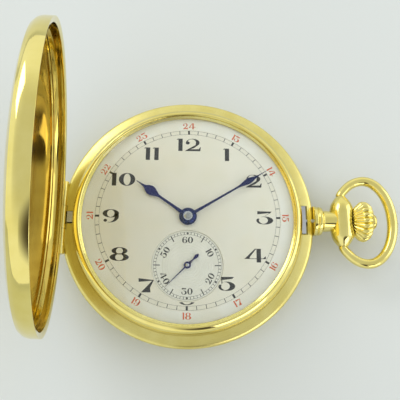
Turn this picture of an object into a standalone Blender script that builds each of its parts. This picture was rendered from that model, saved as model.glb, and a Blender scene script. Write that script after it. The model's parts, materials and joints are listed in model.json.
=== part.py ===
"""Hunter pocket watch with a hinged front cover, shown open, lying on its back.

Frame: origin at the centre of the back cover's flat, +X to the crown,
+Y to twelve o'clock, +Z out of the dial. Sizes below are in millimetres.
"""
import math

import bmesh
import bpy
from mathutils import Matrix, Vector, geometry

MM = 0.001

# ---- driving dimensions (millimetres) ----
CASE_R = 25.5            # widest radius of the case band
COVER_R = 25.2           # outside radius of the front and back covers
BEZEL_R = 22.85          # outside radius of the bezel
DIAL_Z = 8.0             # top face of the dial
RIM_Z = DIAL_Z - 2.35    # height of the band's widest line
SHOULDER_R = 23.08       # inner edge of the shoulder that the cover shuts on
SHOULDER_Z = DIAL_Z - 1.26
SHOULDER_SLOPE = -0.25   # fall of the shoulder for each mm outwards
STEM_Z = DIAL_Z - 2.2    # axis of the stem, crown and pendant
BACK_SEAT_Z = 4.72       # face of the band that the back cover shuts on
FLAT_R = 13.0            # flat disc in the middle of the back cover
SHEET = 0.45             # thickness of the case sheet
GAP = 0.08               # running gap between shut covers and the band

LID_HINGE = (-25.0, DIAL_Z - 1.65)      # x and z of the front hinge pin
LID_HINGE_R = 0.7
LID_HINGE_HALF = 7.45
LID_KNUCKLE_HALF = 2.35
LID_OPEN = math.radians(83.0)           # how far the front cover stands open
BACK_HINGE = (-25.0, 4.45)
BACK_HINGE_R = 0.6
BACK_HINGE_HALF = 6.0
BACK_KNUCKLE_HALF = 1.9
CUVETTE_HINGE = (-23.3, 2.35)
CUVETTE_HINGE_R = 0.32
CUVETTE_HINGE_HALF = 3.5
CUVETTE_KNUCKLE_HALF = 1.3
KNUCKLE_GAP = 0.08

PLATE_R = 21.5
PLATE_Z = (5.3, 6.4)     # lower and upper face of the mainplate
BRIDGE_Z = (2.35, 3.15)  # lower and upper face of the bridges
WINDING_Z = (1.95, 2.28)  # ratchet and crown wheel, on the bridges

CENTRE = (0.0, 0.0)
SECONDS = (0.0, -9.7)    # fourth wheel and small seconds
THIRD = (-4.7, -5.58)
ESCAPE = (4.5, -12.86)
PALLET = (7.29, -10.91)
BALANCE = (10.6, -8.6)
BARREL = (4.47, 6.39)
CROWN_WHEEL = (12.4, 0.0)
MINUTE_WHEEL = (4.5, 0.0)
SETTING_WHEEL = (9.3, 0.0)

HOUR_ANGLE = math.radians(-55.0)        # hand directions, clockwise from twelve
MINUTE_ANGLE = math.radians(58.6)
SECOND_ANGLE = math.radians(225.0)

ROUND = 48               # steps around a case part
SMALL_ROUND = 16         # steps around a small turned part

# pieces whose tiny bores leave gaps with the exact solver
FINE_PIECES = {
    "mainplate", "centre_wheel", "third_wheel", "fourth_wheel", "minute_wheel", "pendant",
}

ROD_ROLL = math.radians(7.3)     # keeps a rod's edges off its neighbours' faces

PARTS = "hunter_pocket_watch"
CUTTERS = "cutters"


def fresh_scene():
    for obj in list(bpy.data.objects):
        bpy.data.objects.remove(obj, do_unlink=True)
    for name in (PARTS, CUTTERS):
        collection = bpy.data.collections.get(name)
        if collection is None:
            collection = bpy.data.collections.new(name)
            bpy.context.scene.collection.children.link(collection)


def metal(name, colour, roughness, metallic=1.0):
    material = bpy.data.materials.new(name)
    material.use_nodes = True
    shader = material.node_tree.nodes["Principled BSDF"]
    shader.inputs["Base Color"].default_value = (*colour, 1.0)
    shader.inputs["Roughness"].default_value = roughness
    shader.inputs["Metallic"].default_value = metallic
    material.diffuse_color = (*colour, 1.0)
    return material


def make_materials():
    return {
        "gold": metal("polished_gold", (0.83, 0.66, 0.26), 0.14),
        "satin_gold": metal("satin_gold", (0.78, 0.62, 0.25), 0.34),
        "dial": metal("silvered_dial", (0.80, 0.78, 0.72), 0.45, 0.15),
        "blued": metal("blued_steel", (0.05, 0.07, 0.18), 0.25),
        "steel": metal("polished_steel", (0.66, 0.66, 0.66), 0.22),
        "brass": metal("gilt_brass", (0.75, 0.56, 0.25), 0.30),
        "nickel": metal("nickel_plate", (0.62, 0.61, 0.58), 0.30),
        "crystal": metal("mineral_crystal", (0.92, 0.94, 0.94), 0.05, 0.0),
    }


def link(obj, collection=PARTS):
    bpy.data.collections[collection].objects.link(obj)
    if collection == CUTTERS:
        obj.hide_render = True
        obj.display_type = "WIRE"
    return obj


def as_mm(points):
    return [tuple(value * MM for value in point) for point in points]


def finish_mesh(name, mesh_builder, collection):
    mesh = bpy.data.meshes.new(name)
    mesh_builder.to_mesh(mesh)
    mesh_builder.free()
    return link(bpy.data.objects.new(name, mesh), collection)


def turned(name, profile, steps=ROUND, closed=True, collection=PARTS):
    """Turn a profile of (radius, z) about Z; it runs down its outer side."""
    mesh = bpy.data.meshes.new(name)
    vertices = as_mm([(radius, 0.0, z) for radius, z in profile])
    count = len(vertices)
    last = count if closed else count - 1
    mesh.from_pydata(vertices, [(i, (i + 1) % count) for i in range(last)], [])
    obj = link(bpy.data.objects.new(name, mesh), collection)
    screw = obj.modifiers.new("turn", "SCREW")
    screw.axis = "Z"
    screw.angle = math.tau
    screw.steps = steps
    screw.render_steps = steps
    screw.use_merge_vertices = True
    screw.merge_threshold = 0.000001
    screw.use_smooth_shade = True
    return obj


def lie_along(obj, axis):
    """Turn a piece made along Z so that it lies along X or Y."""
    if axis == "X":
        obj.rotation_euler = (0.0, math.pi / 2, 0.0)
    if axis == "Y":
        obj.rotation_euler = (-math.pi / 2, 0.0, 0.0)
    return obj


def rod(name, radius, start, end, axis, centre, collection=PARTS, segments=SMALL_ROUND):
    """A cylinder from start to end along an axis; centre holds the other two."""
    builder = bmesh.new()
    bmesh.ops.create_cone(
        builder, cap_ends=True, segments=segments,
        radius1=radius * MM, radius2=radius * MM, depth=(end - start) * MM,
    )
    turn = Matrix.Rotation(ROD_ROLL, 3, "Z")
    bmesh.ops.rotate(builder, matrix=turn, verts=builder.verts)
    obj = finish_mesh(name, builder, collection)
    lie_along(obj, axis)
    middle = (start + end) / 2
    place = {
        "X": (middle, centre[0], centre[1]),
        "Y": (centre[0], middle, centre[1]),
        "Z": (centre[0], centre[1], middle),
    }[axis]
    obj.location = as_mm([place])[0]
    return obj


def box(name, low, high, collection=PARTS):
    size = [(b - a) * MM for a, b in zip(low, high)]
    builder = bmesh.new()
    bmesh.ops.create_cube(builder, size=1.0)
    bmesh.ops.scale(builder, vec=size, verts=builder.verts)
    obj = finish_mesh(name, builder, collection)
    obj.location = as_mm([[(a + b) / 2 for a, b in zip(low, high)]])[0]
    return obj


def combine(obj, other, operation):
    """Boolean with the exact solver, or the manifold one on marked fine pieces."""
    modifier = obj.modifiers.new(other.name, "BOOLEAN")
    modifier.operation = operation
    modifier.solver = "MANIFOLD" if obj.name in FINE_PIECES else "EXACT"
    modifier.object = other


def cut(obj, *others):
    for other in others:
        combine(obj, other, "DIFFERENCE")


def unite(obj, *others):
    for other in others:
        combine(obj, other, "UNION")


def circle(radius, centre=(0.0, 0.0), count=24, start=0.0):
    points = []
    for i in range(count):
        angle = start + math.tau * i / count
        x = centre[0] + radius * math.cos(angle)
        y = centre[1] + radius * math.sin(angle)
        points.append((x, y))
    return points


def arc(radius, start, end, count, centre=(0.0, 0.0)):
    points = []
    for i in range(count):
        angle = start + (end - start) * i / (count - 1)
        x = centre[0] + radius * math.cos(angle)
        y = centre[1] + radius * math.sin(angle)
        points.append((x, y))
    return points


def sector(inner, outer, start, end, count=8):
    """Outline of a ring's sector, between two radii and two angles."""
    return arc(outer, start, end, count) + arc(inner, end, start, count)


def hull(circles, count=14):
    """Outline that wraps circles of (x, y, radius) like a belt."""
    points = []
    for x, y, radius in circles:
        points += [Vector(point) for point in circle(radius, (x, y), count)]
    return [tuple(points[i]) for i in geometry.convex_hull_2d(points)]


def flat_plate(name, outlines, low, high, collection=PARTS):
    """A flat piece between two heights: the first outline, less the others."""
    curve = bpy.data.curves.new(name, "CURVE")
    curve.dimensions = "2D"
    curve.fill_mode = "BOTH"
    curve.extrude = (high - low) / 2 * MM
    for outline in outlines:
        spline = curve.splines.new("POLY")
        spline.points.add(len(outline) - 1)
        for point, (x, y) in zip(spline.points, outline):
            point.co = (x * MM, y * MM, 0.0, 1.0)
        spline.use_cyclic_u = True
    drawn = bpy.data.objects.new(name + "_curve", curve)
    return curve_to_mesh(drawn, name, (0.0, 0.0, (low + high) / 2 * MM), collection)


def curve_to_mesh(drawn, name, location, collection=PARTS):
    """Replace a curve by a welded mesh of the same shape."""
    link(drawn, collection)
    graph = bpy.context.evaluated_depsgraph_get()
    graph.update()
    mesh = bpy.data.meshes.new_from_object(drawn.evaluated_get(graph))
    mesh.name = name
    builder = bmesh.new()
    builder.from_mesh(mesh)
    bmesh.ops.remove_doubles(builder, verts=builder.verts, dist=0.000002)
    bmesh.ops.recalc_face_normals(builder, faces=builder.faces)
    builder.to_mesh(mesh)
    builder.free()
    bpy.data.objects.remove(drawn, do_unlink=True)
    obj = link(bpy.data.objects.new(name, mesh), collection)
    obj.location = location
    return obj


def wire(name, points, thickness):
    """A round wire through points of (x, y, z, relative radius)."""
    curve = bpy.data.curves.new(name, "CURVE")
    curve.dimensions = "3D"
    curve.bevel_depth = thickness / 2 * MM
    curve.bevel_resolution = 2
    curve.use_fill_caps = True
    spline = curve.splines.new("POLY")
    spline.points.add(len(points) - 1)
    for point, (x, y, z, relative) in zip(spline.points, points):
        point.co = (x * MM, y * MM, z * MM, 1.0)
        point.radius = relative
    drawn = bpy.data.objects.new(name + "_curve", curve)
    return curve_to_mesh(drawn, name, (0.0, 0.0, 0.0))


def gear_outline(teeth, tip, depth):
    """Outline of a toothed wheel with pointed teeth."""
    points = []
    for tooth in range(teeth):
        for turn, radius in ((0.0, tip - depth), (0.5, tip)):
            angle = math.tau * (tooth + turn) / teeth
            points.append((radius * math.cos(angle), radius * math.sin(angle)))
    return points


def crossings(inner, outer, spokes, width):
    """Windows between a wheel's spokes."""
    windows = []
    for i in range(spokes):
        start = math.tau * i / spokes
        end = math.tau * (i + 1) / spokes
        half_out = width / 2 / outer
        half_in = width / 2 / inner
        windows.append(
            arc(outer, start + half_out, end - half_out, 6)
            + arc(inner, end - half_in, start + half_in, 2)
        )
    return windows


def axis_empty(name, location):
    empty = bpy.data.objects.new(name, None)
    empty.empty_display_size = 0.003
    link(empty)
    empty.location = as_mm([location])[0]
    return empty


def origin_to(obj, location):
    """Move a piece's origin to a point in mm and leave its shape where it is."""
    target = Vector(as_mm([location])[0])
    shift = target - obj.location
    obj.data.transform(Matrix.Translation(-(obj.rotation_euler.to_matrix().inverted() @ shift)))
    obj.location = target


def hinge(fixed, mover, label, axis, radius, half, knuckle_half):
    """Three knuckles on Y: the outer two on the band, the middle on the cover."""
    def barrel(part, radius, start, end, sides=14):
        return rod(f"{label}_{part}", radius, start, end, "Y", axis, CUTTERS, sides)

    clear = radius + KNUCKLE_GAP
    inner = knuckle_half + KNUCKLE_GAP / 2
    lap = KNUCKLE_GAP / 4
    cut(fixed, barrel("band_room", clear, -inner - lap, inner + lap))
    for side in (-1, 1):
        start, end = sorted((side * inner, side * half))
        unite(fixed, barrel(f"band_knuckle_{side}", radius, start, end))
        start, end = sorted((side * (inner - KNUCKLE_GAP), side * (half + KNUCKLE_GAP)))
        cut(mover, barrel(f"cover_room_{side}", clear, start, end))
    unite(mover, barrel("cover_knuckle", radius, -knuckle_half, knuckle_half))
    bore = barrel("bore", radius * 0.5 + 0.04, -half - 1, half + 1, 12)
    cut(fixed, bore)
    cut(mover, bore)
    return rod(f"{label}_hinge_pin", radius * 0.5 - 0.02, -half, half, "Y", axis, PARTS, 12)


# ---- case ----

def shoulder_height(radius):
    return SHOULDER_Z + SHOULDER_SLOPE * (radius - SHOULDER_R)


def make_case_band():
    channel_r = 23.9
    channel_z = (DIAL_Z - 3.5, DIAL_Z - 2.0)
    inner_r = 21.95
    profile = [
        (inner_r, DIAL_Z - 0.95),
        (22.93, DIAL_Z - 0.95),
        (22.93, DIAL_Z - 1.45),
        (SHOULDER_R, DIAL_Z - 1.45),
        (SHOULDER_R, SHOULDER_Z),
        (24.95, shoulder_height(24.95)),
        (25.3, RIM_Z + 0.42),
        (CASE_R, RIM_Z),
        (25.4, RIM_Z - 0.5),
        (24.9, BACK_SEAT_Z),
        (24.4, BACK_SEAT_Z),
        (24.4, 3.4),
        (23.7, 2.45),
        (inner_r, 2.45),
        (inner_r, channel_z[0]),
        (channel_r, channel_z[0]),
        (channel_r, channel_z[1]),
        (inner_r, channel_z[1]),
    ]
    band = turned("case_band", profile)
    cut(
        band,
        rod("band_stem_hole", 0.72, 20.0, 27.0, "X", (0.0, STEM_Z), CUTTERS),
        box("band_pendant_flat", (25.3, -2.9, 3.0), (27.0, 2.9, 8.6), CUTTERS),
        box("lock_slot", (22.6, -3.0, DIAL_Z - 3.0), (24.15, 3.0, DIAL_Z - 0.6), CUTTERS),
        box("lift_slot", (-24.3, -1.3, DIAL_Z - 3.0), (-22.7, 1.3, DIAL_Z - 0.6), CUTTERS),
    )
    return band


def make_front_cover():
    """Made shut, about the front hinge axis, then turned open."""
    seat = GAP
    wall = 24.2
    rim_in = shoulder_height(wall) + seat
    rim_out = shoulder_height(COVER_R) + seat
    top = DIAL_Z + 3.75
    profile = [
        (0.0, top),
        (12.0, top - 0.5),
        (20.0, top - 1.4),
        (24.2, top - 2.35),
        (24.95, top - 3.1),
        (COVER_R, top - 4.2),
        (COVER_R, rim_out),
        (wall, rim_in),
        (24.5, top - 3.8),
        (24.1, top - 2.95),
        (20.0, top - 1.88),
        (12.0, top - 0.96),
        (0.0, top - 0.46),
    ]
    return turned("front_cover", profile, closed=False)


def make_back_cover():
    rim = BACK_SEAT_Z - GAP
    outer = [
        (COVER_R, rim),
        (25.1, 3.1),
        (24.2, 1.8),
        (21.5, 0.7),
        (FLAT_R, 0.0),
        (0.0, 0.0),
    ]
    inner = [
        (0.0, SHEET),
        (FLAT_R, SHEET),
        (21.3, 1.13),
        (23.8, 2.05),
        (24.6, 3.2),
        (24.72, rim),
    ]
    return turned("back_cover", inner + outer, closed=False)


def make_cuvette():
    profile = [
        (0.0, 1.55),
        (20.0, 1.65),
        (23.1, 2.3),
        (23.1, 2.0),
        (20.0, 1.35),
        (0.0, 1.25),
    ]
    return turned("cuvette", profile, 40, closed=False)


def make_bezel():
    profile = [
        (21.4, DIAL_Z + 1.2),
        (21.7, DIAL_Z + 1.28),
        (22.4, DIAL_Z + 0.9),
        (BEZEL_R, DIAL_Z + 0.1),
        (BEZEL_R, DIAL_Z - 0.87),
        (22.0, DIAL_Z - 0.87),
        (22.0, DIAL_Z + 0.12),
        (20.98, DIAL_Z + 0.12),
        (20.98, DIAL_Z + 0.6),
        (21.4, DIAL_Z + 0.8),
    ]
    return turned("bezel", profile)


def make_crystal():
    profile = [
        (0.0, DIAL_Z + 1.95),
        (20.0, DIAL_Z + 1.45),
        (21.3, DIAL_Z + 1.1),
        (21.3, DIAL_Z + 0.83),
        (20.2, DIAL_Z + 1.05),
        (0.0, DIAL_Z + 1.5),
    ]
    return turned("crystal", profile, 40, closed=False)


def spring_strip(name, middle, half_angle):
    """Flat spring lying in the band's channel, centred on an angle."""
    outline = sector(23.0, 23.3, middle - half_angle, middle + half_angle, 16)
    return flat_plate(name, [outline], DIAL_Z - 3.3, DIAL_Z - 2.15)


def make_lift_spring():
    strip = spring_strip("lift_spring", math.pi, math.radians(28))
    low = DIAL_Z - 2.9
    unite(strip, box("lift_tip", (-24.1, -1.1, low), (-22.95, 1.1, DIAL_Z - 1.02), CUTTERS))
    hook = box("lift_tip_room", (-25.0, -1.5, low - 0.1), (-23.75, 1.5, DIAL_Z - 2.12), CUTTERS)
    cut(strip, hook)
    return strip


def make_lock_spring():
    strip = spring_strip("lock_spring", 0.0, math.radians(26))
    nose = box("lock_nose", (22.95, -2.85, DIAL_Z - 2.9), (23.75, 2.85, DIAL_Z - 1.12), CUTTERS)
    unite(strip, nose)
    hole = rod("lock_stem_hole", 0.85, 20.0, 27.0, "X", (0.0, STEM_Z), CUTTERS, 16)
    cut(strip, hole)
    return strip


# ---- pendant, crown and bow ----

PENDANT_X = 25.34
BOW_X = 31.2             # axis of the bow's ends and middle of the pendant's bulb
CROWN_X = 33.7           # inner end of the crown
SADDLE_X = 32.4          # deepest point of the pendant's hollow for the crown
SADDLE_R = 6.2


def make_pendant():
    neck_profile = [
        (0.0, 31.0),
        (1.95, 31.0),
        (2.2, 27.2),
        (2.85, 26.95),
        (2.85, PENDANT_X),
        (0.0, PENDANT_X),
    ]
    neck = lie_along(turned("pendant", neck_profile, 20, closed=False), "X")
    neck.location = (0.0, 0.0, STEM_Z * MM)
    half = [(0.95, 5.2), (1.55, 4.2), (2.05, 2.7), (2.15, 0.0)]
    profile = [(0.0, 5.2)] + half
    profile += [(radius, -y) for radius, y in reversed(profile[:-1])]
    bulb = lie_along(turned("pendant_bulb", profile, 20, closed=False, collection=CUTTERS), "Y")
    bulb.location = as_mm([(BOW_X, 0.0, STEM_Z)])[0]
    unite(neck, bulb)
    builder = bmesh.new()
    bmesh.ops.create_uvsphere(builder, u_segments=24, v_segments=14, radius=SADDLE_R * MM)
    saddle = finish_mesh("pendant_saddle", builder, CUTTERS)
    saddle.location = as_mm([(SADDLE_X + SADDLE_R, 0.0, STEM_Z)])[0]
    cut(
        neck,
        saddle,
        rod("pendant_bore", 1.3, 24.0, 35.0, "X", (0.0, STEM_Z), CUTTERS),
        rod("bow_hole_left", 0.66, -6.0, -3.6, "Y", (BOW_X, STEM_Z), CUTTERS, 16),
        rod("bow_hole_right", 0.66, 3.6, 6.0, "Y", (BOW_X, STEM_Z), CUTTERS, 16),
    )
    return neck


def make_pendant_sleeve():
    profile = [
        (0.75, SADDLE_X - 0.3),
        (1.22, SADDLE_X - 0.3),
        (1.22, 26.5),
        (0.75, 26.5),
    ]
    sleeve = lie_along(turned("pendant_sleeve", profile, SMALL_ROUND), "X")
    sleeve.location = (0.0, 0.0, STEM_Z * MM)
    return sleeve


def make_crown():
    profile = [
        (0.0, 38.35),
        (1.45, 38.1),
        (1.5, 37.3),
        (3.6, 36.8),
        (4.25, 35.5),
        (3.95, 34.5),
        (2.4, CROWN_X),
        (0.62, CROWN_X),
        (0.62, 36.3),
        (0.0, 36.3),
    ]
    crown = lie_along(turned("crown", profile, 28, closed=False), "X")
    crown.location = (0.0, 0.0, STEM_Z * MM)
    return crown


def make_winding_stem():
    """Round where it runs in the sleeve, square where the castle wheel slides."""
    profile = [
        (0.0, 36.2),
        (0.45, 36.2),
        (0.45, 17.0),
        (0.0, 17.0),
    ]
    stem = lie_along(turned("winding_stem", profile, 16, closed=False), "X")
    stem.location = (0.0, 0.0, STEM_Z * MM)
    square = 0.3
    shank = box(
        "stem_square",
        (11.3, -square, STEM_Z - square),
        (17.4, square, STEM_Z + square),
        CUTTERS,
    )
    unite(stem, shank)
    return stem


def make_bow():
    """Oval bow beyond the crown; its ends turn inwards into the pendant."""
    middle_x = 36.2
    half_width = 8.65
    far_reach = 5.45
    near_reach = 6.3
    near_start = math.radians(40)
    near_steps = 5
    far_steps = 6
    thin, waist, full = 0.72, 0.95, 1.08     # relative thickness along the wire
    half = [(BOW_X, 4.1, 0.56), (BOW_X, 5.3, 0.56)]
    for i in range(near_steps):
        share = i / near_steps
        angle = near_start + (math.pi / 2 - near_start) * share
        x = middle_x - near_reach * math.cos(angle)
        half.append((x, half_width * math.sin(angle), thin + (waist - thin) * share))
    for i in range(far_steps + 1):
        share = i / far_steps
        angle = math.pi / 2 * (1 - share)
        x = middle_x + far_reach * math.cos(angle)
        half.append((x, half_width * math.sin(angle), waist + (full - waist) * share))
    mirrored = [(x, -y, relative) for x, y, relative in reversed(half[:-1])]
    points = [(x, y, STEM_Z, relative) for x, y, relative in half + mirrored]
    bow = wire("bow", points, 2.0)
    origin_to(bow, (BOW_X, 0.0, STEM_Z))
    return bow


# ---- dial and hands ----

def make_dial():
    profile = [
        (1.62, DIAL_Z),
        (21.6, DIAL_Z),
        (21.6, DIAL_Z - 0.42),
        (1.62, DIAL_Z - 0.42),
    ]
    dial = turned("dial", profile)
    opening = rod("seconds_opening", 7.05, 6.5, 9.0, "Z", SECONDS, CUTTERS, 32)
    cut(dial, opening)
    return dial


def make_seconds_dial():
    profile = [
        (0.5, DIAL_Z - 0.16),
        (6.98, DIAL_Z - 0.16),
        (6.98, DIAL_Z - 0.45),
        (7.6, DIAL_Z - 0.45),
        (7.6, DIAL_Z - 0.68),
        (0.5, DIAL_Z - 0.68),
    ]
    disc = turned("seconds_dial", profile, 24)
    disc.location = as_mm([(*SECONDS, 0.0)])[0]
    return disc


def pear_hand(name, length, root, pear, heights, hub):
    """A slim hand along +Y with a pear-shaped swelling before its point.

    root is (half width, end of the neck), pear is (start, middle, half width)
    and hub is (outer radius, hole radius).
    """
    half_root, neck = root
    pear_start, pear_middle, half_pear = pear
    low, high = heights
    right = [
        (half_root, 0.0),
        (half_root * 0.7, neck),
        (half_root * 0.5, pear_start),
        (half_pear * 0.75, pear_start + (pear_middle - pear_start) * 0.55),
        (half_pear, pear_middle),
        (half_pear * 0.72, pear_middle + 0.5 * half_pear),
        (half_root * 0.42, pear_middle + 1.7 * half_pear),
        (0.06, length),
    ]
    outline = right + [(-x, y) for x, y in reversed(right)]
    hand = flat_plate(name, [outline], low, high)
    boss = flat_plate(name + "_boss", [circle(hub[0], count=14)], low, high, CUTTERS)
    unite(hand, boss)
    cut(hand, rod(name + "_hole", hub[1], low - 1, high + 1, "Z", CENTRE, CUTTERS, 12))
    return hand


def make_hour_hand():
    heights = (DIAL_Z + 0.42, DIAL_Z + 0.58)
    hand = pear_hand("hour_hand", 12.7, (0.42, 4.0), (7.6, 9.4, 0.95), heights, (1.75, 1.36))
    hand.rotation_euler.z = -HOUR_ANGLE
    return hand


def make_minute_hand():
    heights = (DIAL_Z + 0.72, DIAL_Z + 0.87)
    hand = pear_hand("minute_hand", 18.5, (0.4, 6.0), (12.4, 14.6, 0.62), heights, (1.45, 0.96))
    hand.rotation_euler.z = -MINUTE_ANGLE
    return hand


def make_seconds_hand():
    low = DIAL_Z + 0.12
    right = [
        (0.05, -3.1),
        (0.34, -2.45),
        (0.10, -1.5),
        (0.12, 0.0),
        (0.03, 6.1),
    ]
    outline = right + [(-x, y) for x, y in reversed(right)]
    hand = flat_plate("seconds_hand", [outline], low, low + 0.12)
    unite(hand, rod("seconds_boss", 0.7, low - 0.02, low + 0.2, "Z", CENTRE, CUTTERS, 12))
    cut(hand, rod("seconds_hole", 0.21, low - 1, low + 1, "Z", CENTRE, CUTTERS, 12))
    hand.rotation_euler.z = -SECOND_ANGLE
    place_wheel(hand, SECONDS)
    return hand


# ---- movement ----

def make_mainplate():
    plate = flat_plate("mainplate", [circle(PLATE_R, count=48)], *PLATE_Z)
    low, high = PLATE_Z[0] - 1, PLATE_Z[1] + 1
    cut(plate, rod("centre_pivot_hole", 0.62, low, high, "Z", CENTRE, CUTTERS, 16))
    pivots = {
        "third": THIRD,
        "fourth": SECONDS,
        "escape": ESCAPE,
        "pallet": PALLET,
        "balance": BALANCE,
    }
    for label, place in pivots.items():
        cut(plate, rod(label + "_pivot_hole", 0.32, low, high, "Z", place, CUTTERS, 10))
    cut(
        plate,
        rod("arbor_pivot_hole", 0.95, low, high, "Z", BARREL, CUTTERS, 16),
        box("stem_slot", (10.6, -1.75, low), (18.4, 1.75, high), CUTTERS),
        box("stem_way", (18.0, -0.75, low - 0.5), (23.0, 0.75, high + 0.5), CUTTERS),
    )
    return plate


BARREL_FEET = ((-13.5, 6.0), (-5.0, 16.5), (12.5, 13.0))
TRAIN_FEET = ((-13.0, -9.0), (-6.5, -17.0))
COCK_FOOT = (8.9, -17.2)


def add_feet(bridge, places, radius):
    """Feet down to the mainplate, each bored and sunk for its screw."""
    def upright(part, index, radius, low, high, sides):
        name = f"{bridge.name}_{part}_{index}"
        return rod(name, radius, low, high, "Z", places[index], CUTTERS, sides)

    for index in range(len(places)):
        unite(bridge, upright("foot", index, radius, BRIDGE_Z[0] + 0.2, PLATE_Z[0] - 0.03, 12))
    for index in range(len(places)):
        hole = upright("screw_hole", index, 0.55, 1.0, 4.3, 10)
        sink = upright("screw_sink", index, 1.05, 1.0, BRIDGE_Z[0] + 0.35, 12)
        cut(bridge, hole, sink)


def train_outline(grow=0.0):
    spots = [
        (*CENTRE, 2.4 + grow),
        (*THIRD, 2.4 + grow),
        (*SECONDS, 2.2 + grow),
        (*ESCAPE, 2.0 + grow),
        (*TRAIN_FEET[0], 2.8 + grow),
        (*TRAIN_FEET[1], 2.6 + grow),
    ]
    return hull(spots)


def make_barrel_bridge():
    spots = [
        (*BARREL_FEET[0], 3.0),
        (*BARREL_FEET[1], 3.0),
        (*BARREL_FEET[2], 3.0),
        (17.6, 4.0, 2.6),
        (*CROWN_WHEEL, 4.0),
    ]
    bridge = flat_plate("barrel_bridge", [hull(spots)], *BRIDGE_Z)
    add_feet(bridge, BARREL_FEET, 1.7)
    low, high = BRIDGE_Z[0] - 1, BRIDGE_Z[1] + 1
    cut(
        bridge,
        flat_plate("train_bridge_room", [train_outline(0.3)], low, high + 2, CUTTERS),
        rod("arbor_hole", 1.3, low, high, "Z", BARREL, CUTTERS, 12),
        rod("crown_wheel_hole", 3.2, low, high, "Z", CROWN_WHEEL, CUTTERS, 20),
    )
    return bridge


def make_train_bridge():
    bridge = flat_plate("train_bridge", [train_outline()], *BRIDGE_Z)
    add_feet(bridge, TRAIN_FEET, 1.7)
    low, high = BRIDGE_Z[0] - 1, BRIDGE_Z[1] + 1
    jewels = {"centre": CENTRE, "third": THIRD, "fourth": SECONDS, "escape": ESCAPE}
    for label, place in jewels.items():
        cut(bridge, rod(label + "_jewel_hole", 0.32, low, high, "Z", place, CUTTERS, 10))
    return bridge


def make_balance_cock():
    outline = hull([(*BALANCE, 2.3), (*COCK_FOOT, 2.2)])
    cock = flat_plate("balance_cock", [outline], *BRIDGE_Z)
    add_feet(cock, [COCK_FOOT], 1.75)
    cut(
        cock,
        rod("balance_jewel_hole", 0.32, 1.0, 4.0, "Z", BALANCE, CUTTERS, 10),
        rod("cock_edge", PLATE_R, 1.0, 7.0, "Z", CENTRE, CUTTERS, 48),
    )
    cock.modifiers[-1].operation = "INTERSECT"
    return cock


def wheel(name, place, rim, tip, wheel_z, arbor, pinion, spokes=4):
    """A crossed-out wheel on an arbor of (radius, low, high) with its pinion."""
    outlines = [rim] + crossings(max(1.1, tip * 0.24), tip * 0.82, spokes, tip * 0.13)
    body = flat_plate(name, outlines, *wheel_z)
    unite(body, rod(name + "_arbor", *arbor, "Z", CENTRE, CUTTERS, 10))
    leaves, radius, low, high = pinion
    leaf_outline = gear_outline(leaves, radius, radius * 0.3)
    unite(body, flat_plate(name + "_pinion", [leaf_outline], low, high, CUTTERS))
    place_wheel(body, place)
    return body


def plain_wheel(name, place, tip, *rest):
    """A wheel whose fine teeth are left as a smooth rim."""
    return wheel(name, place, circle(tip, count=30), tip, *rest)


def place_wheel(body, place):
    """Put a wheel, and what is joined to it, on its own arbor's place."""
    offset = Vector(as_mm([(*place, 0.0)])[0])
    body.location += offset
    for modifier in body.modifiers:
        if modifier.type == "BOOLEAN":
            modifier.object.location += offset


def make_train():
    centre = plain_wheel(
        "centre_wheel", CENTRE, 6.6, (3.28, 3.5), (0.5, 3.2, 9.0), (10, 0.85, 4.6, 5.2)
    )
    unite(centre, rod("centre_lower_pivot", 0.25, 2.5, 3.4, "Z", CENTRE, CUTTERS, 8))
    third = plain_wheel(
        "third_wheel", THIRD, 5.55, (4.4, 4.6), (0.25, 2.5, 6.2), (10, 0.62, 3.25, 3.6)
    )
    fourth = plain_wheel(
        "fourth_wheel", SECONDS, 4.95, (4.95, 5.12), (0.19, 2.5, 8.28), (10, 0.60, 4.2, 4.8)
    )
    escape = wheel(
        "escape_wheel", ESCAPE, gear_outline(15, 2.6, 0.55), 2.1,
        (4.5, 4.66), (0.2, 2.5, 6.2), (8, 0.45, 4.85, 5.2),
    )
    return centre, third, fourth, escape


def make_barrel():
    """A cup with a wheel rim; its cover closes the side towards the bridge."""
    profile = [
        (1.0, 5.18),
        (6.5, 5.18),
        (6.88, 5.12),
        (6.88, 4.72),
        (6.5, 4.68),
        (6.5, 3.62),
        (6.2, 3.62),
        (6.2, 4.95),
        (1.0, 4.95),
    ]
    cup = turned("mainspring_barrel", profile, 24)
    place_wheel(cup, BARREL)
    return cup


def make_barrel_cover():
    profile = [
        (1.0, 3.82),
        (6.12, 3.82),
        (6.12, 3.64),
        (1.0, 3.64),
    ]
    cover = turned("barrel_cover", profile, 24)
    cover.location = as_mm([(*BARREL, 0.0)])[0]
    return cover


def spiral_outline(inner, outer, turns, thickness, per_turn):
    """Both sides of a flat spiral strip, as one closed outline."""
    count = int(turns * per_turn) + 1
    sides = ([], [])
    for i in range(count):
        angle = math.tau * i / per_turn
        radius = inner + (outer - inner) * i / (count - 1)
        for side, offset in zip(sides, (thickness / 2, -thickness / 2)):
            side.append(((radius + offset) * math.cos(angle), (radius + offset) * math.sin(angle)))
    return sides[0] + sides[1][::-1]


def make_mainspring():
    spring = flat_plate("mainspring", [spiral_outline(1.3, 6.0, 3, 0.25, 12)], 3.9, 4.85)
    spring.location += Vector(as_mm([(*BARREL, 0.0)])[0])
    return spring


def make_barrel_arbor():
    profile = [
        (0.0, 6.2),
        (0.88, 6.2),
        (0.88, 2.34),
        (0.7, 2.34),
        (0.7, 1.9),
        (0.0, 1.9),
    ]
    arbor = turned("barrel_arbor", profile, 12, closed=False)
    arbor.location = as_mm([(*BARREL, 0.0)])[0]
    return arbor


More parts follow.
